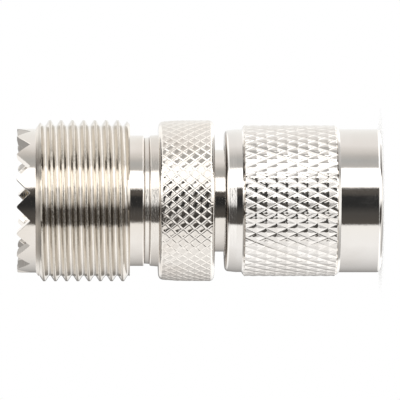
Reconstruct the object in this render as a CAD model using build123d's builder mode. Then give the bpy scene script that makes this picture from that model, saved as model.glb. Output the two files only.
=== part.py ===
from build123d import *
import math
import os

# Coaxial adapter that stands on the nose of its coupling nut.
# Z runs up the common axis of every turned piece, and z = 0 is the nose face. Millimetres.

# Coupling nut, outside, from the nose back
nut_length = 15.3
nut_nose_diameter = 14.05
nut_nose_length = 4.1
nut_nose_corner = 0.55
nut_knurl_diameter = 14.8
nut_knurl_length = 9.55
nut_knurl_chamfer = 0.6
nut_land_diameter = 14.0
nut_back_diameter = 13.7
nut_back_corner = 0.4

# Coupling nut, inside: thread at its minor diameter, run-out, then the bore that rides on the body
nut_thread_diameter = 10.2
nut_thread_length = 8.2
nut_mouth_chamfer = 0.55
runout_depth = 0.55
runout_length = 1.8
back_bore_chamfer = 0.3

# Body: knurled grip ring between the front neck and the rear neck
nut_gap = 1.05
front_neck_diameter = 10.0
front_seat_z = 9.4
grip_length = 5.45
grip_corner = 0.5
rear_neck_diameter = 13.0
rear_neck_length = 0.85
rear_neck_corner = 0.3

# Split ring that holds the nut on the body
ring_thickness = 0.8
ring_z = 11.3
ring_proud = 0.45
ring_groove_depth = 0.5
ring_split = 1.5
nut_float = 0.35

# Threaded shell of the large end
shoulder_diameter = 12.35
shoulder_length = 0.55
shell_neck_diameter = 12.8
shell_neck_length = 1.4
shell_neck_corner = 0.15
shell_thread_diameter = 15.8
shell_thread_length = 8.95
shell_thread_back_chamfer = 0.35
shell_thread_start_chamfer = 0.85
rim_diameter = 14.1
rim_length = 2.05
mouth_diameter = 12.2
mouth_depth = 6.0
spigot_diameter = 10.8
spigot_length = 4.2

# Teeth cut across the rim
tooth_count = 16
notch_depth = 1.3
notch_angle = 90
tooth_phase = 5

# Socket contact and insulator of the large end
socket_bore_diameter = 4.0
socket_bore_depth = 9.0
socket_outer_diameter = 5.4
socket_recess = 1.2
socket_slot_count = 4
socket_slot_width = 0.5
socket_slot_depth = 6.6
socket_mouth_chamfer = 0.35
socket_stem_diameter = 3.0
insulator_flange_length = 4.2
insulator_stem_diameter = 8.8

# Pin, insulator, outer contact and gasket of the small end
line_diameter = 7.0
pin_diameter = 2.1
pin_tip_diameter = 1.35
pin_tip_length = 5.2
pin_tip_taper = 0.45
pin_stud_diameter = 1.5
pin_stud_length = 3.0
contact_wall = 0.55
contact_seat_step = 0.2
contact_length = 5.0
contact_seat_depth = 1.2
contact_slot_count = 6
contact_slot_width = 0.35
contact_slot_depth = 3.7
contact_slot_turn = 7.5
contact_chamfer = 0.25
gasket_thickness = 1.0

# Clearances
running_gap = 0.08
groove_gap = 0.05
seat_gap = 0.02
gasket_gap = 0.05

# Diameters that follow from the sizes above
grip_diameter = shell_thread_diameter
contact_diameter = line_diameter + 2 * contact_wall
contact_seat_diameter = contact_diameter + 2 * contact_seat_step
gasket_diameter = front_neck_diameter
ring_outer_diameter = front_neck_diameter + 2 * ring_proud

# Heights that follow from the lengths above
knurl_back_z = nut_nose_length + nut_knurl_length
grip_front_z = nut_length + nut_gap
grip_back_z = grip_front_z + grip_length
rear_face_z = grip_back_z + rear_neck_length
shell_neck_z = rear_face_z + shoulder_length
thread_back_z = shell_neck_z + shell_neck_length
thread_front_z = thread_back_z + shell_thread_length
rim_top_z = thread_front_z + rim_length
insulator_face_z = rim_top_z - mouth_depth
shell_floor_z = insulator_face_z - insulator_flange_length
spigot_end_z = rear_face_z - spigot_length
pocket_floor_z = spigot_end_z - groove_gap


def rounded_edge(outer_radius, end_z, size, inwards):
    # a round edge from the end face to the side, drawn as two flats to keep the facets few
    rise = size * (1 - math.cos(math.radians(45)))
    return [
        (outer_radius - size, end_z),
        (outer_radius - rise, end_z + inwards * rise),
        (outer_radius, end_z + inwards * size),
    ]


# Coupling nut: one turned piece, held by the split ring in its inner groove
nut_bore_radius = front_neck_diameter / 2 + running_gap
nut_groove_radius = ring_outer_diameter / 2 + running_gap
runout_radius = nut_thread_diameter / 2 + runout_depth
runout_z = nut_thread_length + runout_length

with BuildPart() as coupling_nut:
    with BuildSketch(Plane.XZ):
        with BuildLine():
            Polyline(
                (nut_thread_diameter / 2 + nut_mouth_chamfer, 0),
                *rounded_edge(nut_nose_diameter / 2, 0, nut_nose_corner, 1),
                (nut_nose_diameter / 2, nut_nose_length),
                (nut_knurl_diameter / 2, nut_nose_length + nut_knurl_chamfer),
                (nut_knurl_diameter / 2, knurl_back_z - nut_knurl_chamfer),
                (nut_land_diameter / 2, knurl_back_z),
                *reversed(rounded_edge(nut_back_diameter / 2, nut_length, nut_back_corner, -1)),
                (nut_bore_radius + back_bore_chamfer, nut_length),
                (nut_bore_radius, nut_length - back_bore_chamfer),
                (nut_bore_radius, runout_z),
                (runout_radius, runout_z),
                (runout_radius, nut_thread_length),
                (nut_thread_diameter / 2, nut_thread_length),
                (nut_thread_diameter / 2, nut_mouth_chamfer),
                close=True,
            )
        make_face()
    revolve(axis=Axis.Z)
    with BuildSketch(Plane.XY.offset(ring_z - groove_gap)):
        Circle(nut_groove_radius)
    extrude(amount=ring_thickness + nut_float + 2 * groove_gap, mode=Mode.SUBTRACT)

# Split ring: sprung into the nut's groove, it turns in the groove of the front neck
ring_groove_radius = front_neck_diameter / 2 - ring_groove_depth

with BuildPart() as retaining_ring:
    with BuildSketch(Plane.XY.offset(ring_z)):
        Circle(ring_outer_diameter / 2)
        Circle(ring_groove_radius + groove_gap, mode=Mode.SUBTRACT)
        with Locations((ring_outer_diameter / 2, 0)):
            Rectangle(ring_outer_diameter, ring_split, mode=Mode.SUBTRACT)
    extrude(amount=ring_thickness)

# Body: front neck, grip ring and rear neck in one turned piece
with BuildPart() as knurled_body:
    with BuildSketch(Plane.XZ):
        with BuildLine():
            Polyline(
                (line_diameter / 2, front_seat_z),
                (front_neck_diameter / 2, front_seat_z),
                (front_neck_diameter / 2, grip_front_z),
                *rounded_edge(grip_diameter / 2, grip_front_z, grip_corner, 1),
                *reversed(rounded_edge(grip_diameter / 2, grip_back_z, grip_corner, -1)),
                (rear_neck_diameter / 2, grip_back_z),
                (rear_neck_diameter / 2, rear_face_z - rear_neck_corner),
                (rear_neck_diameter / 2 - rear_neck_corner, rear_face_z),
                (spigot_diameter / 2 + seat_gap, rear_face_z),
                (spigot_diameter / 2 + seat_gap, pocket_floor_z),
                (line_diameter / 2, pocket_floor_z),
                close=True,
            )
        make_face()
    revolve(axis=Axis.Z)
    with BuildSketch(Plane.XY.offset(ring_z - groove_gap)):
        Circle(front_neck_diameter / 2 + running_gap)
        Circle(ring_groove_radius, mode=Mode.SUBTRACT)
    extrude(amount=ring_thickness + 2 * groove_gap, mode=Mode.SUBTRACT)
    with BuildSketch(Plane.XY.offset(front_seat_z)):
        Circle(contact_seat_diameter / 2 + seat_gap)
    extrude(amount=contact_seat_depth + seat_gap, mode=Mode.SUBTRACT)

# Shell: shoulder and spigot below, thread at its major diameter, toothed rim on top
start_run = (shell_thread_diameter - rim_diameter) / 2

with BuildPart() as uhf_shell:
    with BuildSketch(Plane.XZ):
        with BuildLine():
            Polyline(
                (insulator_stem_diameter / 2 + seat_gap, spigot_end_z),
                (spigot_diameter / 2, spigot_end_z),
                (spigot_diameter / 2, rear_face_z),
                (shoulder_diameter / 2, rear_face_z),
                (shoulder_diameter / 2, shell_neck_z),
                (shell_neck_diameter / 2 - shell_neck_corner, shell_neck_z),
                (shell_neck_diameter / 2, shell_neck_z + shell_neck_corner),
                (shell_neck_diameter / 2, thread_back_z),
                (shell_thread_diameter / 2 - shell_thread_back_chamfer, thread_back_z),
                (shell_thread_diameter / 2, thread_back_z + shell_thread_back_chamfer),
                (shell_thread_diameter / 2, thread_front_z - shell_thread_start_chamfer),
                (rim_diameter / 2, thread_front_z - shell_thread_start_chamfer + start_run),
                (rim_diameter / 2, rim_top_z),
                (mouth_diameter / 2, rim_top_z),
                (mouth_diameter / 2, shell_floor_z),
                (insulator_stem_diameter / 2 + seat_gap, shell_floor_z),
                close=True,
            )
        make_face()
    revolve(axis=Axis.Z)
    # each cut crosses the whole rim, so it makes two opposite notches
    tooth_pitch = 360 / tooth_count
    first_notch = -tooth_phase - tooth_pitch / 2
    notch_planes = [
        Plane.XZ.rotated((0, 0, first_notch + 90 + k * tooth_pitch)) for k in range(tooth_count // 2)
    ]
    with BuildSketch(*notch_planes):
        with BuildLine():
            notch_half_width = notch_depth * math.tan(math.radians(notch_angle / 2))
            Polyline(
                (0, rim_top_z - notch_depth),
                (2 * notch_half_width, rim_top_z + notch_depth),
                (-2 * notch_half_width, rim_top_z + notch_depth),
                close=True,
            )
        make_face()
    extrude(amount=rim_diameter, both=True, mode=Mode.SUBTRACT)

# Insulator of the large end: a flange on the shell's floor and a stem through its spigot
stem_hole_radius = socket_stem_diameter / 2 + seat_gap
socket_floor_z = rim_top_z - socket_recess - socket_bore_depth
socket_back_z = socket_floor_z - (socket_outer_diameter - socket_bore_diameter) / 2

with BuildPart() as uhf_insulator:
    with BuildSketch(Plane.XZ):
        with BuildLine():
            Polyline(
                (stem_hole_radius, spigot_end_z),
                (insulator_stem_diameter / 2, spigot_end_z),
                (insulator_stem_diameter / 2, shell_floor_z),
                (mouth_diameter / 2 - seat_gap, shell_floor_z),
                (mouth_diameter / 2 - seat_gap, insulator_face_z),
                (socket_outer_diameter / 2 + seat_gap, insulator_face_z),
                (socket_outer_diameter / 2 + seat_gap, socket_back_z),
                (stem_hole_radius, socket_back_z),
                close=True,
            )
        make_face()
    revolve(axis=Axis.Z)

# Socket contact: a slotted tube that grips the plug's pin, on a stem that takes the small pin's stud
with BuildPart() as socket_contact:
    with BuildSketch(Plane.XZ):
        with BuildLine():
            Polyline(
                (0, pin_stud_length + pocket_floor_z + groove_gap),
                (pin_stud_diameter / 2 + seat_gap, pin_stud_length + pocket_floor_z + groove_gap),
                (pin_stud_diameter / 2 + seat_gap, pocket_floor_z),
                (socket_stem_diameter / 2, pocket_floor_z),
                (socket_stem_diameter / 2, socket_back_z),
                (socket_outer_diameter / 2, socket_back_z),
                (socket_outer_diameter / 2, rim_top_z - socket_recess),
                (socket_bore_diameter / 2 + socket_mouth_chamfer, rim_top_z - socket_recess),
                (socket_bore_diameter / 2, rim_top_z - socket_recess - socket_mouth_chamfer),
                (socket_bore_diameter / 2, socket_floor_z),
                (0, socket_floor_z),
                close=True,
            )
        make_face()
    revolve(axis=Axis.Z)
    slot_planes = [
        Plane.XZ.rotated((0, 0, 45 + k * 360 / socket_slot_count)) for k in range(socket_slot_count // 2)
    ]
    with BuildSketch(*slot_planes):
        with Locations((0, rim_top_z - socket_recess - socket_slot_depth)):
            Rectangle(socket_slot_width, 2 * socket_slot_depth, align=(Align.CENTER, Align.MIN))
    extrude(amount=socket_outer_diameter, both=True, mode=Mode.SUBTRACT)

# Insulator and pin of the small end
with BuildPart() as tnc_insulator:
    with BuildSketch(Plane.XY.offset(front_seat_z)):
        Circle(line_diameter / 2 - seat_gap)
        Circle(pin_diameter / 2 + seat_gap, mode=Mode.SUBTRACT)
    extrude(amount=pocket_floor_z - front_seat_z)

with BuildPart() as tnc_pin:
    with BuildSketch(Plane.XZ):
        with BuildLine():
            tip_z = front_seat_z - pin_tip_length
            Polyline(
                (0, tip_z),
                (pin_tip_diameter / 4, tip_z),
                (pin_tip_diameter / 2, tip_z + pin_tip_taper),
                (pin_tip_diameter / 2, front_seat_z),
                (pin_diameter / 2, front_seat_z),
                (pin_diameter / 2, pocket_floor_z),
                (pin_stud_diameter / 2, pocket_floor_z),
                (pin_stud_diameter / 2, pocket_floor_z + pin_stud_length),
                (0, pocket_floor_z + pin_stud_length),
                close=True,
            )
        make_face()
    revolve(axis=Axis.Z)

# Outer contact: a slotted sleeve seated in the front neck, with the gasket round its foot
contact_tip_z = front_seat_z - contact_length
gasket_front_z = front_seat_z - gasket_thickness

with BuildPart() as tnc_outer_contact:
    with BuildSketch(Plane.XZ):
        with BuildLine():
            Polyline(
                (line_diameter / 2, contact_tip_z),
                (contact_diameter / 2 - contact_chamfer, contact_tip_z),
                (contact_diameter / 2, contact_tip_z + contact_chamfer),
                (contact_diameter / 2, gasket_front_z),
                (contact_seat_diameter / 2, gasket_front_z),
                (contact_seat_diameter / 2, front_seat_z + contact_seat_depth),
                (line_diameter / 2, front_seat_z + contact_seat_depth),
                close=True,
            )
        make_face()
    revolve(axis=Axis.Z)
    finger_pitch = 360 / contact_slot_count
    finger_planes = [
        Plane.XZ.rotated((0, 0, contact_slot_turn + k * finger_pitch)) for k in range(contact_slot_count // 2)
    ]
    with BuildSketch(*finger_planes):
        with Locations((0, contact_tip_z + contact_slot_depth)):
            Rectangle(contact_slot_width, 2 * contact_slot_depth, align=(Align.CENTER, Align.MAX))
    extrude(amount=contact_diameter, both=True, mode=Mode.SUBTRACT)

with BuildPart() as gasket:
    with BuildSketch(Plane.XY.offset(gasket_front_z)):
        Circle(gasket_diameter / 2)
        Circle(contact_seat_diameter / 2 + gasket_gap, mode=Mode.SUBTRACT)
    extrude(amount=gasket_thickness)

# Labels and files
coupling_nut.part.label = "coupling_nut"
retaining_ring.part.label = "retaining_ring"
knurled_body.part.label = "knurled_body"
uhf_shell.part.label = "uhf_shell"
uhf_insulator.part.label = "uhf_insulator"
socket_contact.part.label = "socket_contact"
tnc_insulator.part.label = "tnc_insulator"
tnc_pin.part.label = "tnc_pin"
tnc_outer_contact.part.label = "tnc_outer_contact"
gasket.part.label = "gasket"

os.makedirs("parts", exist_ok=True)
export_step(coupling_nut.part, "parts/coupling_nut.step")
export_step(retaining_ring.part, "parts/retaining_ring.step")
export_step(knurled_body.part, "parts/knurled_body.step")
export_step(uhf_shell.part, "parts/uhf_shell.step")
export_step(uhf_insulator.part, "parts/uhf_insulator.step")
export_step(socket_contact.part, "parts/socket_contact.step")
export_step(tnc_insulator.part, "parts/tnc_insulator.step")
export_step(tnc_pin.part, "parts/tnc_pin.step")
export_step(tnc_outer_contact.part, "parts/tnc_outer_contact.step")
export_step(gasket.part, "parts/gasket.step")
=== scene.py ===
import math

import bmesh
import bpy
import numpy as np
from mathutils import Matrix, Vector


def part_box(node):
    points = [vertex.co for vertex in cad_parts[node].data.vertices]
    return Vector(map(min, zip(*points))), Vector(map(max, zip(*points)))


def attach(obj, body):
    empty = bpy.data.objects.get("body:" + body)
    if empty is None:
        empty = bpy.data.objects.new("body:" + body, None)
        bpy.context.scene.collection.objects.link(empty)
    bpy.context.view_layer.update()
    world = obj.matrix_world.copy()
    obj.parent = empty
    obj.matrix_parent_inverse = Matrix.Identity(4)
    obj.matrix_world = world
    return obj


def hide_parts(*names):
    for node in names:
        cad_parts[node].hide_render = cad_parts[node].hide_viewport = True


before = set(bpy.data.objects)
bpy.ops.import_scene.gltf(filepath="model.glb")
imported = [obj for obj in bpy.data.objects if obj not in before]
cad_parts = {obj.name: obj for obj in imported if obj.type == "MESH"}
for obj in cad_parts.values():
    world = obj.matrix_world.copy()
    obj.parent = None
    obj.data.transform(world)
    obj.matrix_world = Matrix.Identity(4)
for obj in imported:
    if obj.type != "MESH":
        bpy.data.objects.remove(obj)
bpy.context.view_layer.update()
mm = 0.001


# helpers for turned pieces: a piece is a loop of rings, each ring has a radius and a height per column

def columnAngles(count, phase):
    return phase + np.arange(count) * 2 * math.pi / count


class TurnedPiece:
    def __init__(self, name, angles):
        self.name = name
        self.angles = angles
        self.cos = np.cos(angles)
        self.sin = np.sin(angles)
        self.points = []
        self.faces = []
        self.total = 0
        self.first = None
        self.last = None

    def addRow(self, radius, height):
        count = len(self.angles)
        radius = np.broadcast_to(radius, count)
        height = np.broadcast_to(height, count)
        self.points.append(np.column_stack([radius * self.cos, radius * self.sin, height]))
        self.total += count
        return self.total - count

    def ring(self, radius, height):
        start = self.addRow(radius, height)
        if self.last is not None:
            self.join(self.last, start)
        if self.first is None:
            self.first = start
        self.last = start

    def join(self, low, high):
        here = np.arange(len(self.angles))
        ahead = np.roll(here, -1)
        self.faces.extend(np.column_stack([low + here, low + ahead, high + ahead, high + here]).tolist())

    def straight(self, firstRadius, firstHeight, lastRadius, lastHeight, margin=0.04 * mm):
        # extra rings near both ends keep the middle flat under smooth shading
        share = margin / max(abs(lastHeight - firstHeight), abs(lastRadius - firstRadius))
        for place in (0, share, 1 - share, 1):
            self.ring(firstRadius + (lastRadius - firstRadius) * place,
                      firstHeight + (lastHeight - firstHeight) * place)

    def arc(self, centreRadius, centreHeight, size, fromDegrees, toDegrees, steps=6):
        for step in range(steps + 1):
            turn = math.radians(fromDegrees + (toDegrees - fromDegrees) * step / steps)
            self.ring(centreRadius + size * math.cos(turn), centreHeight + size * math.sin(turn))

    def knurl(self, heights, radiusAt, leansLeft):
        # the quads are cut along the groove that runs through them, so that the grooves stay crisp
        here = np.arange(len(self.angles))
        ahead = np.roll(here, -1)
        for index, height in enumerate(heights):
            start = self.addRow(radiusAt(height), height)
            if index == 0:
                self.join(self.last, start)
            else:
                left = leansLeft((height + heights[index - 1]) / 2)
                low, high = self.last + here, start + here
                lowAhead, highAhead = self.last + ahead, start + ahead
                rising = np.vstack([
                    np.column_stack([low, lowAhead, highAhead])[~left],
                    np.column_stack([low, highAhead, high])[~left],
                    np.column_stack([low, lowAhead, high])[left],
                    np.column_stack([lowAhead, highAhead, high])[left],
                ])
                self.faces.extend(rising.tolist())
            self.last = start

    def helix(self, low, high, pitch, phases, radiusAt, downwards=False):
        # rows follow the thread; rows that leave the threaded length are held at its ends and merge there
        count = len(self.angles)
        share = (self.angles - self.angles[0]) / (2 * math.pi)
        turns = int(math.ceil((high - low) / pitch)) + 1
        rows = []
        for turn in range(-2, turns + 1):
            for phase in phases:
                height = np.clip(low + pitch * (turn + phase + share), low, high)
                rows.append(self.addRow(radiusAt(height), height))
        here = np.arange(count - 1)
        for index in range(len(rows) - 1):
            a, b = rows[index] + here, rows[index + 1] + here
            self.faces.extend(np.column_stack([a, a + 1, b + 1, b]).tolist())
            if index + len(phases) + 1 < len(rows):
                # the last column meets the first one a whole turn further on
                a, b = rows[index] + count - 1, rows[index + 1] + count - 1
                c, d = rows[index + len(phases)], rows[index + len(phases) + 1]
                self.faces.append([a, c, d, b])
        entry, leave = (high, low) if downwards else (low, high)
        self.join(self.last, self.addRow(radiusAt(np.full(count, entry)), entry))
        self.last = self.addRow(radiusAt(np.full(count, leave)), leave)

    def close(self):
        self.join(self.last, self.first)

    def build(self, sharpDegrees):
        mesh = bpy.data.meshes.new(self.name)
        mesh.from_pydata(np.vstack(self.points).tolist(), [], self.faces)
        work = bmesh.new()
        work.from_mesh(mesh)
        weld = 0.0002 * mm
        bmesh.ops.remove_doubles(work, verts=work.verts, dist=weld)
        bmesh.ops.dissolve_degenerate(work, edges=work.edges, dist=weld / 2)
        bmesh.ops.recalc_face_normals(work, faces=work.faces)
        work.to_mesh(mesh)
        loose = sum(1 for edge in work.edges if not edge.is_manifold)
        work.free()
        mesh.shade_smooth()
        mesh.set_sharp_from_angle(angle=math.radians(sharpDegrees))
        piece = bpy.data.objects.new(self.name, mesh)
        bpy.context.collection.objects.link(piece)
        triangles = sum(len(face.vertices) - 2 for face in mesh.polygons)
        print(self.name, triangles, "triangles,", loose, "open edges")
        return piece


def knurlAngles(spec):
    # the first column runs through a crossing of two grooves, "crossingTurn" degrees from the front to +X
    count = spec["starts"] * 2 * spec["stepsPerHalfCell"]
    return columnAngles(count, math.radians(spec["crossingTurn"] - 90))


def knurlHeights(spec, low, high):
    step = spec["axialPitch"] / 2 / spec["stepsPerHalfCell"]
    first = math.ceil((low - spec["crossingHeight"]) / step)
    last = math.floor((high - spec["crossingHeight"]) / step)
    return spec["crossingHeight"] + np.arange(first, last + 1) * step


def groovePlaces(angles, height, spec):
    # grooves counted round the piece, for either lean
    around = spec["starts"] * (angles + math.radians(90 - spec["crossingTurn"])) / (2 * math.pi)
    along = (height - spec["crossingHeight"]) / spec["axialPitch"]
    return around + along, around - along


def grooveShare(angles, height, spec):
    # 0 in the middle of a groove and 1 on the ridge between two
    ridge = spec.get("ridge", 0.5)
    places = [np.mod(place, 1) for place in groovePlaces(angles, height, spec)]
    return [np.minimum(place / ridge, (1 - place) / (1 - ridge)) for place in places]


def grooveNumber(angles, height, spec):
    places = groovePlaces(angles, height, spec)
    return [np.rint(place).astype(int) % spec["starts"] for place in places]


def threadForm(spec):
    # half widths of the flat crest, of its rounded edge and of the round root
    flank = math.cos(math.radians(spec["flankDegrees"]))
    return spec["crestFlat"] / 2, spec["edgeRadius"] * flank, spec["rootRadius"] * flank


def arcHeight(radius, across):
    return np.sqrt(radius ** 2 - across ** 2)


def threadRadius(height, angles, spec):
    # right-hand thread: the crest climbs one pitch per turn
    flat, edgeHalf, rootHalf = threadForm(spec)
    slope = 1 / math.tan(math.radians(spec["flankDegrees"]))
    straight = spec["pitch"] / 2 - flat - edgeHalf - rootHalf
    place = np.mod(height / spec["pitch"] - angles / (2 * math.pi) + spec["phase"], 1)
    fromCrest = np.minimum(place, 1 - place) * spec["pitch"]
    inEdge = np.clip(fromCrest - flat, 0, edgeHalf)
    onFlank = np.clip(fromCrest - flat - edgeHalf, 0, straight)
    inRoot = np.clip(spec["pitch"] / 2 - fromCrest, 0, rootHalf)
    edgeDrop = spec["edgeRadius"] - arcHeight(spec["edgeRadius"], inEdge)
    rootDrop = arcHeight(spec["rootRadius"], inRoot) - arcHeight(spec["rootRadius"], rootHalf)
    return spec["crestRadius"] - spec["side"] * (edgeDrop + onFlank * slope + rootDrop)


def threadPhases(spec, angles):
    # rows on the crest, round its edges, on the flanks and round the root, as shares of a pitch
    flat, edgeHalf, rootHalf = threadForm(spec)
    marks = []
    for end in (-1, 1):
        marks += [end * (flat + edgeHalf * share) / spec["pitch"] for share in spec["edgeRows"]]
        marks += [0.5 + end * rootHalf * share / spec["pitch"] for share in spec["rootRows"]]
    shift = -spec["phase"] + angles[0] / (2 * math.pi) - spec["low"] / spec["pitch"]
    return sorted(np.mod(mark + shift, 1) for mark in marks)


# UHF shell: neck, fine thread, toothed rim

uhfShell = {
    "columnsPerTooth": 20,
    "sharpDegrees": 28,         # edges sharper than this keep their crease
    "teeth": 16,
    "toothPhase": 5,            # degrees, from +X towards -Y
    "notchDepth": 1.3 * mm,
    "rimRadius": 7.05 * mm,
    "rimLength": 1.83 * mm,
    "rimEdge": 0.03 * mm,       # the rim's corners
    "rimSteps": 6,
    "mouthRadius": 6.1 * mm,
    "mouthDepth": 10.2 * mm,    # down to the floor under the insulator
    "stemRadius": 4.42 * mm,
    "spigotRadius": 5.4 * mm,
    "spigotLength": 4.2 * mm,
    "shoulderRadius": 6.16 * mm,
    "shoulderTaper": 0.052 * mm,    # so much larger at the grip's end
    "shoulderLength": 0.55 * mm,
    "neckRadius": 6.4 * mm,
    "neckLength": 1.4 * mm,
    "neckCorner": 0.15 * mm,
    "backChamfer": 0.35 * mm,
    "startSlope": 1.5,          # of the cone where the thread starts
    "thread": {
        "pitch": 1.10 * mm,
        "phase": 0.541,         # shift of the crests, as a share of a pitch
        "side": 1,              # 1 outside, -1 inside
        "crestFlat": 0.12 * mm,
        "edgeRadius": 0.09 * mm,
        "rootRadius": 0.15 * mm,
        "flankDegrees": 33,
        "edgeRows": (0, 0.35, 0.7, 1, 1.15),        # shares of the rounded edge's half width
        "rootRows": (0.14, 0.36, 0.6, 0.8, 1, 1.06),
    },
}


def makeUhfShell(spec):
    low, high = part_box("uhf_shell")
    rimTop, crest = high.z, high.x
    thread = dict(spec["thread"], crestRadius=crest)
    threadTop = rimTop - spec["rimLength"]
    shoulderBottom = low.z + spec["spigotLength"]
    neckBottom = shoulderBottom + spec["shoulderLength"]
    threadBottom = neckBottom + spec["neckLength"]
    startHeight = threadTop - (crest - spec["rimRadius"]) / spec["startSlope"]
    thread["low"] = threadBottom
    angles = columnAngles(spec["teeth"] * spec["columnsPerTooth"], -math.radians(spec["toothPhase"]))
    shell = TurnedPiece("uhfShell", angles)

    def outerRadius(height):
        backLimit = crest - spec["backChamfer"] + (height - threadBottom)
        startLimit = crest - np.maximum(height - startHeight, 0) * spec["startSlope"]
        return np.minimum(np.minimum(threadRadius(height, angles, thread), backLimit), startLimit)

    def rimHeight(radius):
        # each notch is a straight V across the rim
        half = math.pi / spec["teeth"]
        fromNotch = np.abs(np.mod(angles + math.radians(spec["toothPhase"]), 2 * half) - half)
        return np.minimum(rimTop, rimTop - spec["notchDepth"] + radius * np.sin(fromNotch))

    shell.ring(spec["stemRadius"], low.z)
    shell.ring(spec["spigotRadius"], low.z)
    shell.ring(spec["spigotRadius"], shoulderBottom)
    shoulderFoot = spec["shoulderRadius"] + spec["shoulderTaper"]
    shell.straight(shoulderFoot, shoulderBottom, spec["shoulderRadius"], neckBottom)
    corner = spec["neckCorner"]
    shell.arc(spec["neckRadius"] - corner, neckBottom + corner, corner, -90, 0)
    shell.straight(spec["neckRadius"], neckBottom + corner, spec["neckRadius"], threadBottom)
    shell.helix(threadBottom, threadTop, thread["pitch"], threadPhases(thread, angles), outerRadius)
    edge = spec["rimEdge"]
    shell.ring(spec["rimRadius"], rimHeight(spec["rimRadius"]) - edge)
    for radius in np.linspace(spec["rimRadius"] - edge, spec["mouthRadius"] + edge, spec["rimSteps"]):
        shell.ring(radius, rimHeight(radius))
    shell.ring(spec["mouthRadius"], rimHeight(spec["mouthRadius"]) - edge)
    shell.ring(spec["mouthRadius"], rimTop - spec["mouthDepth"])
    shell.ring(spec["stemRadius"], rimTop - spec["mouthDepth"])
    shell.close()
    return shell.build(spec["sharpDegrees"])


# knurled body: grip ring, rear neck and front neck

knurledBody = {
    "starts": 50,
    "stepsPerHalfCell": 8,
    "sharpDegrees": 28,
    "axialPitch": 1.165 * mm,
    "crossingTurn": 0.9,
    "crossingHeight": 17.13 * mm,
    "grooveDepth": (0.043 * mm, 0.042 * mm),    # right lean, left lean
    "grooveShare": 0.20,        # of the way to the next groove
    "grooveRunout": 0.2 * mm,   # how far the grooves reach into the rounded corners
    "crown": 0.16 * mm,         # the rear half falls away towards its end
    "dish": (0.034 * mm, 0.014 * mm),   # hollow of each cell between its grooves, right and left lean
    "dishShare": (0.8, 1.7),            # of that, at the front and at the rear of the grip
    "gripCorner": 0.5 * mm,
    "cornerTurns": (18, 36, 50),        # degrees, rings on the rounded corners
    "gripLength": 5.45 * mm,
    "neckRadius": 6.46 * mm,
    "neckTaper": 0.068 * mm,
    "neckLength": 0.85 * mm,
    "neckCorner": 0.12 * mm,
    "neckCornerFrom": 15,       # degrees
    "frontRadius": 5.0 * mm,
    "pocketRadius": 5.42 * mm,
    "pocketDepth": 4.25 * mm,
    "boreRadius": 3.5 * mm,
    "seatRadius": 4.27 * mm,
    "seatDepth": 1.22 * mm,
    "grooveFloor": 4.5 * mm,
    "grooveLow": 11.25 * mm,
    "grooveHigh": 12.15 * mm,
}


def makeKnurledBody(spec):
    low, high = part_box("knurled_body")
    crest = high.x
    gripTop = high.z - spec["neckLength"]
    gripBottom = gripTop - spec["gripLength"]
    corner = spec["gripCorner"]
    angles = knurlAngles(spec)
    body = TurnedPiece("knurledBody", angles)

    def envelope(height):
        fromEnd = np.minimum(height - gripBottom, gripTop - height)
        dip = np.clip(corner - fromEnd, 0, corner)
        rear = np.clip((height - gripBottom) / spec["gripLength"] * 2 - 1, 0, 1)
        return crest - corner + np.sqrt(corner ** 2 - dip ** 2) - spec["crown"] * rear ** 2

    def radiusAt(height):
        right, left = grooveShare(angles, height, spec)
        rightCut = spec["grooveDepth"][0] * (1 - np.clip(right / spec["grooveShare"], 0, 1))
        leftCut = spec["grooveDepth"][1] * (1 - np.clip(left / spec["grooveShare"], 0, 1))
        hollow = spec["dish"][0] * (1 - (1 - right) ** 2) + spec["dish"][1] * (1 - (1 - left) ** 2)
        hollow = hollow * np.interp(height, (gripBottom, gripTop), spec["dishShare"])
        fade = np.clip(np.minimum(height - gripBottom, gripTop - height) / corner, 0, 1)
        return envelope(height) - (np.maximum(rightCut, leftCut) + hollow) * fade ** 2

    def leansLeft(height):
        middle = angles + (angles[1] - angles[0]) / 2
        right, left = grooveShare(middle, height, spec)
        return right < left

    plain = corner - spec["grooveRunout"]
    heights = knurlHeights(spec, gripBottom + plain, gripTop - plain)

    body.ring(spec["seatRadius"], low.z)
    body.ring(spec["frontRadius"], low.z)
    body.ring(spec["frontRadius"], spec["grooveLow"])
    body.ring(spec["grooveFloor"], spec["grooveLow"])
    body.ring(spec["grooveFloor"], spec["grooveHigh"])
    body.ring(spec["frontRadius"], spec["grooveHigh"])
    body.ring(spec["frontRadius"], gripBottom)
    body.ring(crest - corner, gripBottom)
    for turn in spec["cornerTurns"]:
        height = gripBottom + corner * (1 - math.cos(math.radians(turn)))
        body.ring(envelope(height), height)
    body.knurl(heights, radiusAt, leansLeft)
    for turn in reversed(spec["cornerTurns"]):
        height = gripTop - corner * (1 - math.cos(math.radians(turn)))
        body.ring(envelope(height), height)
    body.ring(envelope(gripTop), gripTop)
    neckFoot = spec["neckRadius"] - spec["neckTaper"]
    body.straight(spec["neckRadius"], gripTop, neckFoot, high.z - spec["neckCorner"])
    neckCorner = spec["neckCorner"]
    body.arc(neckFoot - neckCorner, high.z - neckCorner, neckCorner, spec["neckCornerFrom"], 90)
    body.ring(spec["pocketRadius"], high.z)
    body.ring(spec["pocketRadius"], high.z - spec["pocketDepth"])
    body.ring(spec["boreRadius"], high.z - spec["pocketDepth"])
    body.ring(spec["boreRadius"], low.z + spec["seatDepth"])
    body.ring(spec["seatRadius"], low.z + spec["seatDepth"])
    body.close()
    return body.build(spec["sharpDegrees"])


# coupling nut: nose, coarse raised knurl, land, inner thread

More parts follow.
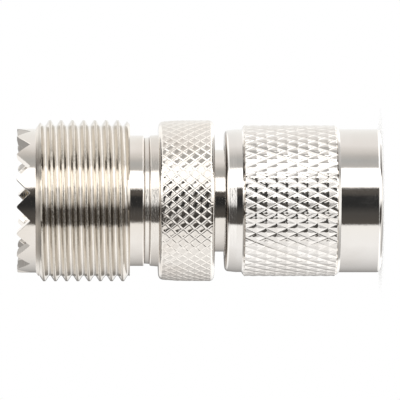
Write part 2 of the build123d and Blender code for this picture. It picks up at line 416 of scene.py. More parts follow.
couplingNut = {
    "starts": 46,
    "stepsPerHalfCell": 7,
    "sharpDegrees": 13,
    "axialPitch": 2.005 * mm,
    "crossingTurn": 2.1,
    "crossingHeight": 7.38 * mm,
    "ridge": 0.55,              # where the ridge between two grooves is, as a share of the way
    "grooveDepth": (0.085 * mm, 0.100 * mm),    # right lean, left lean
    "grooveShare": 0.74,        # of the way to the ridge
    "grooveWave": 0.6,          # how much steeper a groove's side is at its foot and head than halfway
    "shallowest": 0.75,         # each groove has its own share of the full depth, from this one up
    "depthSeed": 5,
    "noseRadius": 7.025 * mm,
    "noseLength": 4.1 * mm,
    "noseCorner": 0.42 * mm,
    "knurlLength": 9.55 * mm,
    "knurlChamfer": (0.4 * mm, 0.25 * mm),      # nose side, land side
    "knurlEdge": 0.02 * mm,     # room between the grooves' rows and the knurl's ends
    "landRadius": 7.0 * mm,
    "landFlat": 0.55 * mm,
    "backRadius": 6.93 * mm,
    "backCorner": 0.4 * mm,
    "backCornerFrom": 6,        # degrees
    "cornerSteps": 8,
    "mouthChamfer": 0.55 * mm,
    "threadStart": 0.05 * mm,
    "threadTop": 8.2 * mm,
    "runoutRadius": 5.65 * mm,
    "runoutTop": 10.0 * mm,
    "boreRadius": 5.08 * mm,
    "boreChamfer": 0.3 * mm,
    "grooveRadius": 5.53 * mm,
    "grooveLow": 11.25 * mm,
    "grooveHigh": 12.5 * mm,
    "minorRadius": 5.1 * mm,
    "thread": {
        "pitch": 25.4 / 28 * mm,
        "phase": 0.0,
        "side": -1,
        "crestFlat": 0.12 * mm,
        "edgeRadius": 0.03 * mm,
        "rootRadius": 0.12 * mm,
        "flankDegrees": 38,
        "edgeRows": (0,),
        "rootRows": (0.9,),
    },
}


def makeCouplingNut(spec):
    low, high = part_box("coupling_nut")
    crest = high.x
    knurlLow = low.z + spec["noseLength"]
    knurlHigh = knurlLow + spec["knurlLength"]
    angles = knurlAngles(spec)
    nut = TurnedPiece("couplingNut", angles)

    noseSlope = (crest - spec["noseRadius"]) / spec["knurlChamfer"][0]
    landSlope = (crest - spec["landRadius"]) / spec["knurlChamfer"][1]
    depthDraw = np.random.default_rng(spec["depthSeed"])
    depthShare = depthDraw.uniform(spec["shallowest"], 1, (2, spec["starts"]))

    def envelope(height):
        noseSide = spec["noseRadius"] + (height - knurlLow) * noseSlope
        landSide = spec["landRadius"] + (knurlHigh - height) * landSlope
        return np.minimum(crest, np.minimum(noseSide, landSide))

    def radiusAt(height):
        cuts = []
        shares = grooveShare(angles, height, spec)
        numbers = grooveNumber(angles, height, spec)
        for share, number, depth, ownShare in zip(shares, numbers, spec["grooveDepth"], depthShare):
            rest = np.clip(1 - share / spec["grooveShare"], 0, 1)
            side = rest + spec["grooveWave"] * np.sin(2 * math.pi * rest) / (2 * math.pi)
            cuts.append(depth * ownShare[number] * side)
        return np.minimum(envelope(height), crest - np.maximum(*cuts))

    def leansLeft(height):
        middle = angles + (angles[1] - angles[0]) / 2
        right, left = grooveShare(middle, height, spec)
        return right < left

    heights = knurlHeights(spec, knurlLow + spec["knurlEdge"], knurlHigh - spec["knurlEdge"])
    noseCorner, backCorner = spec["noseCorner"], spec["backCorner"]
    thread = dict(spec["thread"], crestRadius=spec["minorRadius"], low=low.z + spec["mouthChamfer"])

    def innerRadius(height):
        mouth = spec["minorRadius"] + spec["mouthChamfer"] - (height - low.z)
        return np.maximum(threadRadius(height, angles, thread), mouth)

    nut.ring(spec["minorRadius"] + spec["mouthChamfer"], low.z)
    nut.arc(spec["noseRadius"] - noseCorner, low.z + noseCorner, noseCorner, -90, 0, spec["cornerSteps"])
    nut.straight(spec["noseRadius"], low.z + noseCorner, spec["noseRadius"], knurlLow)
    nut.knurl(heights, radiusAt, leansLeft)
    taperFoot = knurlHigh + spec["landFlat"]
    nut.straight(spec["landRadius"], knurlHigh, spec["landRadius"], taperFoot)
    nut.straight(spec["landRadius"], taperFoot, spec["backRadius"], high.z - backCorner)
    nut.arc(spec["backRadius"] - backCorner, high.z - backCorner, backCorner, spec["backCornerFrom"], 90,
            spec["cornerSteps"])
    nut.ring(spec["boreRadius"] + spec["boreChamfer"], high.z)
    nut.ring(spec["boreRadius"], high.z - spec["boreChamfer"])
    nut.ring(spec["boreRadius"], spec["grooveHigh"])
    nut.ring(spec["grooveRadius"], spec["grooveHigh"])
    nut.ring(spec["grooveRadius"], spec["grooveLow"])
    nut.ring(spec["boreRadius"], spec["grooveLow"])
    nut.ring(spec["boreRadius"], spec["runoutTop"])
    nut.ring(spec["runoutRadius"], spec["runoutTop"])
    nut.ring(spec["runoutRadius"], spec["threadTop"])
    phases = threadPhases(thread, angles)
    nut.helix(low.z + spec["threadStart"], spec["threadTop"], thread["pitch"], phases, innerRadius,
              downwards=True)
    nut.close()
    return nut.build(spec["sharpDegrees"])


# finishes

def newGroup(name, inputs, outputs):
    group = bpy.data.node_groups.new(name, "ShaderNodeTree")
    for label, kind, value in inputs:
        socket = group.interface.new_socket(name=label, in_out="INPUT", socket_type=kind)
        if value is not None:
            socket.default_value = value
    for label, kind in outputs:
        group.interface.new_socket(name=label, in_out="OUTPUT", socket_type=kind)
    return group, group.nodes.new("NodeGroupInput"), group.nodes.new("NodeGroupOutput")


def addMath(tree, operation, first, second=None, third=None):
    node = tree.nodes.new("ShaderNodeMath")
    node.operation = operation
    for index, value in enumerate((first, second, third)):
        if value is None:
            continue
        if isinstance(value, (int, float)):
            node.inputs[index].default_value = value
        else:
            tree.links.new(value, node.inputs[index])
    return node.outputs[0]


def turningMarksGroup():
    # marks that the lathe tool left: long round the piece, fine along it
    group, source, result = newGroup(
        "turningMarks",
        [("Vector", "NodeSocketVector", None), ("Around", "NodeSocketFloat", 500.0),
         ("Along", "NodeSocketFloat", 12000.0)],
        [("Height", "NodeSocketFloat")])
    scale = group.nodes.new("ShaderNodeCombineXYZ")
    group.links.new(source.outputs["Around"], scale.inputs[0])
    group.links.new(source.outputs["Around"], scale.inputs[1])
    group.links.new(source.outputs["Along"], scale.inputs[2])
    stretched = group.nodes.new("ShaderNodeVectorMath")
    stretched.operation = "MULTIPLY"
    group.links.new(source.outputs["Vector"], stretched.inputs[0])
    group.links.new(scale.outputs[0], stretched.inputs[1])
    noise = group.nodes.new("ShaderNodeTexNoise")
    noise.inputs["Scale"].default_value = 1.0
    noise.inputs["Detail"].default_value = 3.0
    noise.inputs["Roughness"].default_value = 0.6
    group.links.new(stretched.outputs[0], noise.inputs["Vector"])
    group.links.new(noise.outputs["Fac"], result.inputs["Height"])
    return group


def specksGroup():
    # sparse dust and pits
    group, source, result = newGroup(
        "specks",
        [("Vector", "NodeSocketVector", None), ("Scale", "NodeSocketFloat", 900.0),
         ("Size", "NodeSocketFloat", 0.06), ("Share", "NodeSocketFloat", 0.2)],
        [("Mask", "NodeSocketFloat")])
    cells = group.nodes.new("ShaderNodeTexVoronoi")
    cells.feature = "F1"
    group.links.new(source.outputs["Vector"], cells.inputs["Vector"])
    group.links.new(source.outputs["Scale"], cells.inputs["Scale"])
    chosen = group.nodes.new("ShaderNodeSeparateColor")
    group.links.new(cells.outputs["Color"], chosen.inputs[0])
    near = addMath(group, "LESS_THAN", cells.outputs["Distance"], source.outputs["Size"])
    kept = addMath(group, "LESS_THAN", chosen.outputs[0], source.outputs["Share"])
    both = addMath(group, "MULTIPLY", near, kept)
    group.links.new(both, result.inputs["Mask"])
    return group


def smudgeGroup():
    # soft clouded patches, as fingers leave
    group, source, result = newGroup(
        "smudge",
        [("Vector", "NodeSocketVector", None), ("Scale", "NodeSocketFloat", 180.0)],
        [("Mask", "NodeSocketFloat")])
    noise = group.nodes.new("ShaderNodeTexNoise")
    noise.inputs["Detail"].default_value = 4.0
    noise.inputs["Distortion"].default_value = 0.6
    group.links.new(source.outputs["Vector"], noise.inputs["Vector"])
    group.links.new(source.outputs["Scale"], noise.inputs["Scale"])
    spread = group.nodes.new("ShaderNodeMapRange")
    spread.interpolation_type = "SMOOTHSTEP"
    spread.inputs["From Min"].default_value = 0.42
    spread.inputs["From Max"].default_value = 0.68
    group.links.new(noise.outputs["Fac"], spread.inputs["Value"])
    group.links.new(spread.outputs[0], result.inputs["Mask"])
    return group


def farOutGroup():
    # 1 on the outer parts of a turned piece: worn crests, and flanks darkened by painted shade
    group, source, result = newGroup(
        "farOut",
        [("Vector", "NodeSocketVector", None), ("Start", "NodeSocketFloat", 0.0078),
         ("Full", "NodeSocketFloat", 0.0079)],
        [("Mask", "NodeSocketFloat")])
    flat = group.nodes.new("ShaderNodeVectorMath")
    flat.operation = "MULTIPLY"
    flat.inputs[1].default_value = (1, 1, 0)
    group.links.new(source.outputs["Vector"], flat.inputs[0])
    far = group.nodes.new("ShaderNodeVectorMath")
    far.operation = "LENGTH"
    group.links.new(flat.outputs[0], far.inputs[0])
    spread = group.nodes.new("ShaderNodeMapRange")
    group.links.new(far.outputs["Value"], spread.inputs["Value"])
    group.links.new(source.outputs["Start"], spread.inputs["From Min"])
    group.links.new(source.outputs["Full"], spread.inputs["From Max"])
    group.links.new(spread.outputs[0], result.inputs["Mask"])
    return group


def paintedShadeBandGroup():
    # painted shade round the piece at one height, darkening a crease or gap
    group, source, result = newGroup(
        "paintedShadeBand",
        [("Vector", "NodeSocketVector", None), ("Height", "NodeSocketFloat", 0.0),
         ("Inner", "NodeSocketFloat", 0.0), ("Outer", "NodeSocketFloat", 0.0001),
         ("Soft", "NodeSocketFloat", 0.00006)],
        [("Mask", "NodeSocketFloat")])
    split = group.nodes.new("ShaderNodeSeparateXYZ")
    group.links.new(source.outputs["Vector"], split.inputs[0])
    fromMiddle = addMath(group, "SUBTRACT", split.outputs[2], source.outputs["Height"])
    away = addMath(group, "ABSOLUTE", fromMiddle)
    pastInner = addMath(group, "SUBTRACT", away, source.outputs["Inner"])
    beforeOuter = addMath(group, "SUBTRACT", source.outputs["Outer"], away)
    inside = addMath(group, "MINIMUM", pastInner, beforeOuter)
    mask = group.nodes.new("ShaderNodeClamp")
    group.links.new(addMath(group, "DIVIDE", inside, source.outputs["Soft"]), mask.inputs["Value"])
    group.links.new(mask.outputs[0], result.inputs["Mask"])
    return group


turningMarks = turningMarksGroup()
farOut = farOutGroup()
paintedShadeBand = paintedShadeBandGroup()
specks = specksGroup()
smudge = smudgeGroup()


def placeGroup(tree, group, vector, **values):
    node = tree.nodes.new("ShaderNodeGroup")
    node.node_tree = group
    tree.links.new(vector, node.inputs["Vector"])
    for label, value in values.items():
        node.inputs[label].default_value = value
    return node.outputs[0]


def startMaterial(name):
    material = bpy.data.materials.new(name)
    material.use_nodes = True
    tree = material.node_tree
    shader = tree.nodes["Principled BSDF"]
    coordinates = tree.nodes.new("ShaderNodeTexCoord").outputs["Object"]
    return material, tree, shader, coordinates


def mixColour(tree, share, first, second):
    node = tree.nodes.new("ShaderNodeMix")
    node.data_type = "RGBA"
    tree.links.new(share, node.inputs["Factor"])
    node.inputs["A"].default_value = (*first, 1)
    node.inputs["B"].default_value = (*second, 1)
    return node.outputs["Result"]


# mixes a colour towards a darker one: painted shade, and on the nut's grooves also grime
def shadeAndStain(tree, share, colour, shadeAndStainColour):
    node = tree.nodes.new("ShaderNodeMix")
    node.data_type = "RGBA"
    tree.links.new(share, node.inputs["Factor"])
    tree.links.new(colour, node.inputs["A"])
    node.inputs["B"].default_value = (*shadeAndStainColour, 1)
    return node.outputs["Result"]


nickelPlate = {
    "clean": (0.785, 0.755, 0.715),
    "clouded": (0.745, 0.705, 0.66),
    "cloudScale": 260.0,
    "roughness": 0.06,
    "cloudedRoughness": 0.10,
    "pits": {"Scale": 700.0, "Size": 0.05, "Share": 0.12},
    "pitRoughness": 0.4,
    "pitDepth": 1.5,            # times "marksDepth", as are "lumpDepth" and the depth of the wear
    "marks": {"Around": 600.0, "Along": 12000.0},
    "marksDepth": 0.0018 * mm,
    "lumps": {"Around": 2400.0, "Along": 7000.0},
    "lumpDepth": 0.0,
    "edgeRound": 0.03 * mm,
    "edgeSamples": 6,
    "shadeBands": [],                # painted shade round the piece at set heights
    "shadeAndDirt": None,               # flanks darkened from one radius to another: painted shade, on the nut's grooves also grime
    "worn": None,               # scratched crests
}
paintedShadeColour = (0.16, 0.12, 0.09)


def makeNickel(name, spec):
    material, tree, shader, coordinates = startMaterial(name)
    marks = placeGroup(tree, turningMarks, coordinates, **spec["marks"])
    clouds = placeGroup(tree, smudge, coordinates, Scale=spec["cloudScale"])
    pits = placeGroup(tree, specks, coordinates, **spec["pits"])
    colour = mixColour(tree, clouds, spec["clean"], spec["clouded"])
    cloudsAdd = spec["cloudedRoughness"] - spec["roughness"]
    rough = addMath(tree, "MULTIPLY_ADD", clouds, cloudsAdd, spec["roughness"])
    rough = addMath(tree, "MULTIPLY_ADD", pits, spec["pitRoughness"], rough)
    height = addMath(tree, "MULTIPLY_ADD", pits, spec["pitDepth"], marks)
    # rings of painted shade in creases and gaps round the piece
    for shadeBand in spec["shadeBands"]:
        bandShade = placeGroup(tree, paintedShadeBand, coordinates, Height=shadeBand["height"], Inner=shadeBand["inner"],
                          Outer=shadeBand["outer"])
        colour = shadeAndStain(tree, addMath(tree, "MULTIPLY", bandShade, shadeBand["strength"]), colour, shadeBand["colour"])
        rough = addMath(tree, "MULTIPLY_ADD", bandShade, shadeBand["roughness"], rough)
    if spec["shadeAndDirt"]:
        rootStart, rootFull = spec["shadeAndDirt"]["root"]
        crestStart, crestFull = spec["shadeAndDirt"]["crest"]
        pastRoot = placeGroup(tree, farOut, coordinates, Start=rootStart, Full=rootFull)
        onCrest = placeGroup(tree, farOut, coordinates, Start=crestStart, Full=crestFull)
        # flanks between the two radii darkened: painted shade on the thread, grime and painted shade in the
        # nut's grooves
        flank = addMath(tree, "MULTIPLY", pastRoot, addMath(tree, "SUBTRACT", 1.0, onCrest))
        colour = shadeAndStain(tree, flank, colour, spec["shadeAndDirt"]["colour"])
    if spec["worn"]:
        worn = spec["worn"]
        wear = placeGroup(tree, farOut, coordinates, Start=worn["start"], Full=worn["full"])
        scratches = placeGroup(tree, turningMarks, coordinates, **worn["scratches"])
        rough = addMath(tree, "MULTIPLY_ADD", wear, worn["roughness"], rough)
        wornScratches = addMath(tree, "MULTIPLY", wear, scratches)
        height = addMath(tree, "MULTIPLY_ADD", wornScratches, worn["depth"], height)
    if spec["lumpDepth"]:
        lumps = placeGroup(tree, turningMarks, coordinates, **spec["lumps"])
        height = addMath(tree, "MULTIPLY_ADD", lumps, spec["lumpDepth"], height)
    tree.links.new(colour, shader.inputs["Base Color"])
    shader.inputs["Metallic"].default_value = 1.0
    tree.links.new(rough, shader.inputs["Roughness"])
    rounded = tree.nodes.new("ShaderNodeBevel")
    rounded.samples = spec["edgeSamples"]
    rounded.inputs["Radius"].default_value = spec["edgeRound"]
    bump = tree.nodes.new("ShaderNodeBump")
    bump.inputs["Distance"].default_value = spec["marksDepth"]
    bump.inputs["Strength"].default_value = 1.0
    tree.links.new(height, bump.inputs["Height"])
    tree.links.new(rounded.outputs[0], bump.inputs["Normal"])
    tree.links.new(bump.outputs[0], shader.inputs["Normal"])
    return material


nickelShell = dict(
    nickelPlate,
    marks={"Around": 500.0, "Along": 12000.0},
    marksDepth=0.00324 * mm,
    lumpDepth=1.5,
    edgeRound=0.015 * mm,
    worn={"start": 7.80 * mm, "full": 7.88 * mm, "roughness": 0.02, "depth": 6.0,
          "scratches": {"Around": 2600.0, "Along": 9000.0}},
    # "crest" lies past the thread, whose flanks get painted shade right up to its crests
    shadeAndDirt={"root": (7.40 * mm, 7.44 * mm), "crest": (7.95 * mm, 7.96 * mm), "colour": (0.60, 0.56, 0.505)},
    shadeBands=[
        # painted shade in the creases at both ends of the shoulder, and in the corner where the thread's
        # starting cone meets the rim
        {"height": 22.925 * mm, "inner": 0.15 * mm, "outer": 0.32 * mm, "strength": 0.75, "roughness": 0.1,
         "colour": paintedShadeColour},
        {"height": 33.55 * mm, "inner": -0.1 * mm, "outer": 0.24 * mm, "strength": 0.4, "roughness": 0.25,
         "colour": (0.66, 0.60, 0.53)},
    ])
nickelGrip = dict(
    nickelPlate,
    clean=(0.735, 0.705, 0.665),
    clouded=(0.695, 0.655, 0.61),
    marks={"Around": 700.0, "Along": 9000.0},
    lumpDepth=3.0,
    edgeRound=0.012 * mm)
nickelNut = dict(
    nickelPlate,
    clean=(0.785, 0.765, 0.74),
    clouded=(0.75, 0.725, 0.695),
    marks={"Around": 450.0, "Along": 10000.0},
    marksDepth=0.00144 * mm,
    lumpDepth=2.5,
    # the grooves' lower walls darkened: grime and painted shade in the groove bottoms
    shadeAndDirt={"root": (7.25 * mm, 7.26 * mm), "crest": (7.30 * mm, 7.32 * mm), "colour": (0.60, 0.55, 0.49)},
    shadeBands=[
        # painted shade: the dark line of the gap at the land's back edge
        {"height": 15.25 * mm, "inner": -0.1 * mm, "outer": 0.14 * mm, "strength": 0.85, "roughness": 0.1,
         "colour": paintedShadeColour},
    ])

whiteBushing = {
    "bright": (0.90, 0.895, 0.87),
    "shade": (0.84, 0.83, 0.80),
    "cloudScale": 400.0,
    "rings": {"Around": 900.0, "Along": 900.0},
    "ringDepth": 0.01 * mm,
    "roughness": 0.38,
    "ringRoughness": 0.15,
    "scatter": 0.15,
    "scatterDepth": 0.4 * mm,
    "refraction": 1.35,
}


def addRings(tree, rings, depth, shader):
    bump = tree.nodes.new("ShaderNodeBump")
    bump.inputs["Distance"].default_value = depth
    tree.links.new(rings, bump.inputs["Height"])
    tree.links.new(bump.outputs[0], shader.inputs["Normal"])


def makeBushing(spec):
    material, tree, shader, coordinates = startMaterial("whiteBushing")
    rings = placeGroup(tree, turningMarks, coordinates, **spec["rings"])
    clouds = placeGroup(tree, smudge, coordinates, Scale=spec["cloudScale"])
    tree.links.new(mixColour(tree, clouds, spec["bright"], spec["shade"]), shader.inputs["Base Color"])
    rough = addMath(tree, "MULTIPLY_ADD", rings, spec["ringRoughness"], spec["roughness"])
    tree.links.new(rough, shader.inputs["Roughness"])
    shader.inputs["Subsurface Weight"].default_value = spec["scatter"]
    shader.inputs["Subsurface Scale"].default_value = spec["scatterDepth"]
    shader.inputs["IOR"].default_value = spec["refraction"]
    addRings(tree, rings, spec["ringDepth"], shader)
    return material


contactGold = {
    "clean": (0.86, 0.66, 0.33),
    "clouded": (0.74, 0.53, 0.25),
    "cloudScale": 500.0,
    "roughness": 0.16,
    "cloudRoughness": 0.12,
    "rings": {"Around": 600.0, "Along": 9000.0},
    "ringDepth": 0.003 * mm,
}
springBronze = dict(contactGold, clean=(0.62, 0.42, 0.25), clouded=(0.48, 0.32, 0.19), roughness=0.3)


def makeContactMetal(name, spec):
    material, tree, shader, coordinates = startMaterial(name)
    rings = placeGroup(tree, turningMarks, coordinates, **spec["rings"])
    clouds = placeGroup(tree, smudge, coordinates, Scale=spec["cloudScale"])
    tree.links.new(mixColour(tree, clouds, spec["clean"], spec["clouded"]), shader.inputs["Base Color"])
    shader.inputs["Metallic"].default_value = 1.0
    rough = addMath(tree, "MULTIPLY_ADD", clouds, spec["cloudRoughness"], spec["roughness"])
    tree.links.new(rough, shader.inputs["Roughness"])
    addRings(tree, rings, spec["ringDepth"], shader)
    return material


siliconeRubber = {
    "bright": (0.50, 0.13, 0.08),
    "dusty": (0.58, 0.25, 0.18),
    "cloudScale": 600.0,
    "dust": {"Scale": 2500.0, "Size": 0.2, "Share": 0.3},
    "roughness": 0.55,
    "dustRoughness": 0.2,
}


def makeSilicone(spec):
    material, tree, shader, coordinates = startMaterial("siliconeRubber")
    clouds = placeGroup(tree, smudge, coordinates, Scale=spec["cloudScale"])
    dust = placeGroup(tree, specks, coordinates, **spec["dust"])
    tree.links.new(mixColour(tree, clouds, spec["bright"], spec["dusty"]), shader.inputs["Base Color"])
    rough = addMath(tree, "MULTIPLY_ADD", dust, spec["dustRoughness"], spec["roughness"])
    tree.links.new(rough, shader.inputs["Roughness"])
    return material


# pieces on their bodies

for piece, material, node, body in (
    (makeUhfShell(uhfShell), makeNickel("nickelShell", nickelShell), "uhf_shell", "adapter_body"),
    (makeKnurledBody(knurledBody), makeNickel("nickelGrip", nickelGrip), "knurled_body", "adapter_body"),
    (makeCouplingNut(couplingNut), makeNickel("nickelNut", nickelNut), "coupling_nut", "nut"),
):
    piece.data.materials.append(material)
    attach(piece, body)
    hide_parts(node)
print("turned pieces placed")

bushing = makeBushing(whiteBushing)
gold = makeContactMetal("contactGold", contactGold)
finishOfNode = {
    "uhf_insulator": bushing,
    "tnc_insulator": bushing,
    "socket_contact": gold,
    "tnc_pin": gold,
    "tnc_outer_contact": makeNickel("nickelSleeve", nickelPlate),
    "gasket": makeSilicone(siliconeRubber),
    "retaining_ring": makeContactMetal("springBronze", springBronze),
}
for node, material in finishOfNode.items():
    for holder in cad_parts[node].material_slots:
        holder.material = material
print("finishes placed")


# floor, light and camera

floorSpec = {
    "radius": 9.5 * mm,
    "sides": 96,
    "fadeFrom": 4 * mm,
    "colour": (0.99, 0.99, 0.985),
    "roughness": 0.9,
    "drop": 0.01 * mm,
}


def makeFloor(spec):
    mesh = bpy.data.meshes.new("floor")
    work = bmesh.new()
    bmesh.ops.create_circle(work, cap_ends=True, segments=spec["sides"], radius=spec["radius"])
    work.to_mesh(mesh)
    work.free()
    floor = bpy.data.objects.new("floor", mesh)
    floor.location.z = -spec["drop"]
    bpy.context.collection.objects.link(floor)
    material, tree, shader, coordinates = startMaterial("paleFloor")
    shader.inputs["Base Color"].default_value = (*spec["colour"], 1)
    shader.inputs["Roughness"].default_value = spec["roughness"]
    shader.inputs["Specular IOR Level"].default_value = 0.0
    far = tree.nodes.new("ShaderNodeVectorMath")
    far.operation = "LENGTH"
    tree.links.new(coordinates, far.inputs[0])
    fade = tree.nodes.new("ShaderNodeMapRange")
    fade.interpolation_type = "SMOOTHSTEP"
    fade.inputs["From Min"].default_value = spec["fadeFrom"]
    fade.inputs["From Max"].default_value = spec["radius"]
    tree.links.new(far.outputs["Value"], fade.inputs["Value"])
    clear = tree.nodes.new("ShaderNodeBsdfTransparent")
    mix = tree.nodes.new("ShaderNodeMixShader")
    # clear from below, and the metal mirrors the tent, not the floor
    below = tree.nodes.new("ShaderNodeNewGeometry").outputs["Backfacing"]
    mirrored = tree.nodes.new("ShaderNodeLightPath").outputs["Is Glossy Ray"]
    unseen = addMath(tree, "MAXIMUM", below, mirrored)
    tree.links.new(addMath(tree, "MAXIMUM", fade.outputs[0], unseen), mix.inputs[0])
    tree.links.new(shader.outputs[0], mix.inputs[1])
    tree.links.new(clear.outputs[0], mix.inputs[2])
    tree.links.new(mix.outputs[0], tree.nodes["Material Output"].inputs["Surface"])
    mesh.materials.append(material)


# the studio round the object, as brightness at degrees round it from the front, towards +X: a light tent, a
# strip lamp and a dark opening; each list holds for directions that rise or fall along the axis by so much
studio = {
    "tent": (1.03, 1.02, 1.0),
    "level": [
        (-180, (0.20, 0.19, 0.18)),
        (-165, (0.32, 0.31, 0.30)),
        (-133, (0.68, 0.67, 0.66)),
        (-105, (0.95, 0.94, 0.93)),
        (-77, (1.10, 1.09, 1.08)),
        (-41, (1.10, 1.08, 1.05)),
        (-38, (0.10, 0.09, 0.08)),
        (-20, (0.08, 0.075, 0.07)),
        (-8, (0.03, 0.03, 0.03)),
        (6, (0.03, 0.03, 0.03)),
        (12, (0.10, 0.09, 0.08)),
        (20, (0.10, 0.09, 0.08)),
        (22, (1.80, 1.77, 1.74)),
        (53, (1.80, 1.77, 1.74)),
        (55, (0.58, 0.56, 0.54)),
        (67, (0.52, 0.52, 0.51)),
        (76, (0.60, 0.58, 0.56)),
        (84, (0.78, 0.75, 0.72)),
        (100, (1.01, 0.98, 0.96)),
        (150, (1.06, 1.06, 1.04)),
        (180, (1.00, 1.00, 0.99)),
    ],
    "slanted": [                # what the narrow tapers show
        (-180, (0.60, 0.59, 0.58)),
        (-130, (1.00, 0.99, 0.99)),
        (-100, (1.25, 1.24, 1.23)),
        (-60, (1.35, 1.34, 1.33)),
        (-41, (1.35, 1.34, 1.33)),
        (-38, (0.12, 0.11, 0.10)),
        (-30, (0.09, 0.085, 0.08)),
        (-12, (0.10, 0.095, 0.09)),
        (-7, (1.00, 0.99, 0.98)),
        (0, (1.55, 1.54, 1.52)),
        (14, (1.60, 1.59, 1.56)),
        (22, (1.60, 1.58, 1.55)),
        (53, (1.60, 1.58, 1.55)),
        (57, (0.70, 0.68, 0.66)),
        (74, (0.82, 0.80, 0.78)),
        (90, (1.08, 1.06, 1.04)),
        (105, (1.20, 1.18, 1.16)),
        (142, (1.15, 1.14, 1.12)),
        (162, (1.05, 1.05, 1.04)),
        (180, (1.00, 1.00, 0.99)),
    ],
    "walls": [                  # what the sides of the nut's grooves show
        (-180, (0.95, 0.95, 0.94)),
        (-130, (1.20, 1.19, 1.18)),
        (-75, (1.35, 1.34, 1.33)),
        (-45, (1.10, 1.09, 1.08)),
        (-36, (0.60, 0.59, 0.58)),
        (-20, (0.60, 0.59, 0.58)),
        (-4, (1.10, 1.09, 1.08)),
        (14, (1.05, 1.04, 1.03)),
        (26, (1.05, 1.04, 1.03)),
        (40, (1.40, 1.39, 1.37)),
        (60, (1.55, 1.54, 1.52)),
        (84, (1.65, 1.64, 1.61)),
        (98, (1.50, 1.49, 1.46)),
        (142, (1.35, 1.34, 1.32)),
        (180, (1.00, 1.00, 0.99)),
    ],
    "steep": [                  # what the grip's grooves and the thread's rounded edges show
        (-180, (1.20, 1.19, 1.18)),
        (-60, (1.50, 1.49, 1.47)),
        (-41, (0.90, 0.89, 0.88)),
        (-38, (0.06, 0.055, 0.05)),
        (-14, (0.06, 0.055, 0.05)),
        (-4, (1.00, 0.99, 0.98)),
        (4, (1.35, 1.34, 1.32)),
        (18, (1.40, 1.39, 1.37)),
        (26, (2.20, 2.18, 2.14)),
        (52, (2.20, 2.18, 2.14)),
        (60, (1.45, 1.44, 1.42)),
        (130, (1.50, 1.49, 1.47)),
        (180, (1.30, 1.29, 1.27)),
    ],
    "doubled": [                # what the thread's flanks send back after two reflections
        (-180, (0.36, 0.355, 0.35)),
        (-120, (0.50, 0.49, 0.48)),
        (-52, (0.85, 0.83, 0.80)),
        (-48, (0.08, 0.07, 0.06)),
        (-14, (0.08, 0.07, 0.06)),
        (-8, (0.45, 0.43, 0.41)),
        (0, (1.10, 1.08, 1.05)),
        (10, (1.50, 1.48, 1.44)),
        (25, (2.80, 2.77, 2.70)),
        (53, (2.80, 2.77, 2.70)),
        (60, (0.14, 0.13, 0.12)),
        (80, (0.09, 0.085, 0.08)),
        (100, (0.30, 0.29, 0.28)),
        (130, (0.60, 0.59, 0.58)),
        (155, (0.80, 0.79, 0.78)),
        (180, (0.95, 0.94, 0.93)),
    ],
    "slantedFrom": (7, 11),     # degrees of rise or fall where each list takes over from the one before
    "wallsBelowFrom": (6, 8.5),     # the tapers all face the rim, so walls take over sooner in the fall
    "wallsFrom": (11, 14),
    "steepFrom": (15, 18),
    "doubledFrom": (33, 39),
    "tentFrom": (66, 78),
    "noseSide": 1.2,            # brightness straight below and straight above the object
    "rimSide": 0.8,
}


def addRamp(tree, place, stops):
    ramp = tree.nodes.new("ShaderNodeValToRGB")
    elements = ramp.color_ramp.elements
    elements.remove(elements[-1])
    for index, (degrees, colour) in enumerate(stops):
        position = degrees / 360 + 0.5
        element = elements[0] if index == 0 else elements.new(position)
        element.position = position
        element.color = (*colour, 1)
    tree.links.new(place, ramp.inputs["Fac"])
    return ramp.outputs["Color"]


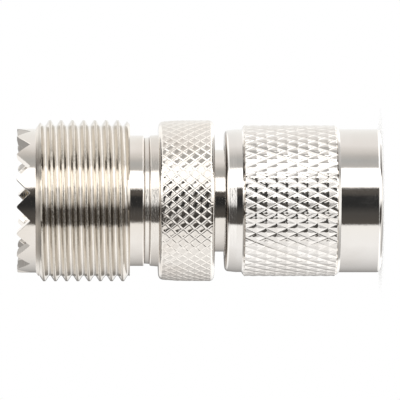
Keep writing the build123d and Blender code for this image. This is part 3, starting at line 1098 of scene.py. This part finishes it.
def makeStudio(spec):
    world = bpy.data.worlds.new("studio")
    bpy.context.scene.world = world
    world.use_nodes = True
    tree = world.node_tree
    background = tree.nodes["Background"]
    split = tree.nodes.new("ShaderNodeSeparateXYZ")
    tree.links.new(tree.nodes.new("ShaderNodeTexCoord").outputs["Generated"], split.inputs[0])
    towardsFront = addMath(tree, "MULTIPLY", split.outputs[1], -1.0)
    around = addMath(tree, "ARCTAN2", split.outputs[0], towardsFront)
    place = addMath(tree, "MULTIPLY_ADD", around, 1 / (2 * math.pi), 0.5)
    climb = addMath(tree, "DEGREES", addMath(tree, "ARCSINE", split.outputs[2]))
    slant = addMath(tree, "ABSOLUTE", climb)
    light = addRamp(tree, place, spec["level"])
    walls = addRamp(tree, place, spec["walls"])
    above = (
        (slant, spec["slantedFrom"], addRamp(tree, place, spec["slanted"])),
        (addMath(tree, "MULTIPLY", climb, -1.0), spec["wallsBelowFrom"], walls),
        (slant, spec["wallsFrom"], walls),
        (slant, spec["steepFrom"], addRamp(tree, place, spec["steep"])),
        (slant, spec["doubledFrom"], addRamp(tree, place, spec["doubled"])),
        (slant, spec["tentFrom"], None),
    )
    for angle, (start, full), colour in above:
        change = tree.nodes.new("ShaderNodeMapRange")
        change.interpolation_type = "SMOOTHSTEP"
        change.inputs["From Min"].default_value = start
        change.inputs["From Max"].default_value = full
        tree.links.new(angle, change.inputs["Value"])
        mix = tree.nodes.new("ShaderNodeMix")
        mix.data_type = "RGBA"
        tree.links.new(change.outputs[0], mix.inputs["Factor"])
        tree.links.new(light, mix.inputs["A"])
        if colour is None:
            mix.inputs["B"].default_value = (*spec["tent"], 1)
        else:
            tree.links.new(colour, mix.inputs["B"])
        light = mix.outputs["Result"]
    side = tree.nodes.new("ShaderNodeMapRange")
    side.inputs["From Min"].default_value = -1.0
    side.inputs["To Min"].default_value = spec["noseSide"]
    side.inputs["To Max"].default_value = spec["rimSide"]
    tree.links.new(split.outputs[2], side.inputs["Value"])
    tree.links.new(side.outputs[0], background.inputs["Strength"])
    tree.links.new(light, background.inputs["Color"])
    white = tree.nodes.new("ShaderNodeBackground")
    white.inputs["Color"].default_value = (1, 1, 1, 1)
    choose = tree.nodes.new("ShaderNodeMixShader")
    tree.links.new(tree.nodes.new("ShaderNodeLightPath").outputs["Is Camera Ray"], choose.inputs[0])
    tree.links.new(background.outputs[0], choose.inputs[1])
    tree.links.new(white.outputs[0], choose.inputs[2])
    tree.links.new(choose.outputs[0], tree.nodes["World Output"].inputs["Surface"])


cameraSpec = {
    "distance": 620 * mm,
    "lens": 569,
    "aimHeight": 17.69 * mm,
    "aimAcross": 0.06 * mm,
    "swing": 1.1,               # degrees, towards the rim
    "sees": (0.01, 10),         # nearest and farthest, in metres
}


def makeCamera(spec):
    # the picture's left is the object's top, so the camera lies on its side
    data = bpy.data.cameras.new("camera")
    data.lens = spec["lens"]
    data.clip_start, data.clip_end = spec["sees"]
    camera = bpy.data.objects.new("camera", data)
    swing = math.radians(spec["swing"])
    back = Vector((0, -math.cos(swing), math.sin(swing)))
    up = Vector((1, 0, 0))
    right = up.cross(back)
    turn = Matrix((right, up, back)).transposed().to_4x4()
    aim = Vector((spec["aimAcross"], 0, spec["aimHeight"]))
    camera.matrix_world = Matrix.Translation(aim + back * spec["distance"]) @ turn
    bpy.context.collection.objects.link(camera)
    bpy.context.scene.camera = camera


makeFloor(floorSpec)
makeStudio(studio)
makeCamera(cameraSpec)
bpy.context.scene.view_settings.view_transform = "Standard"
print("stage, light and camera made")
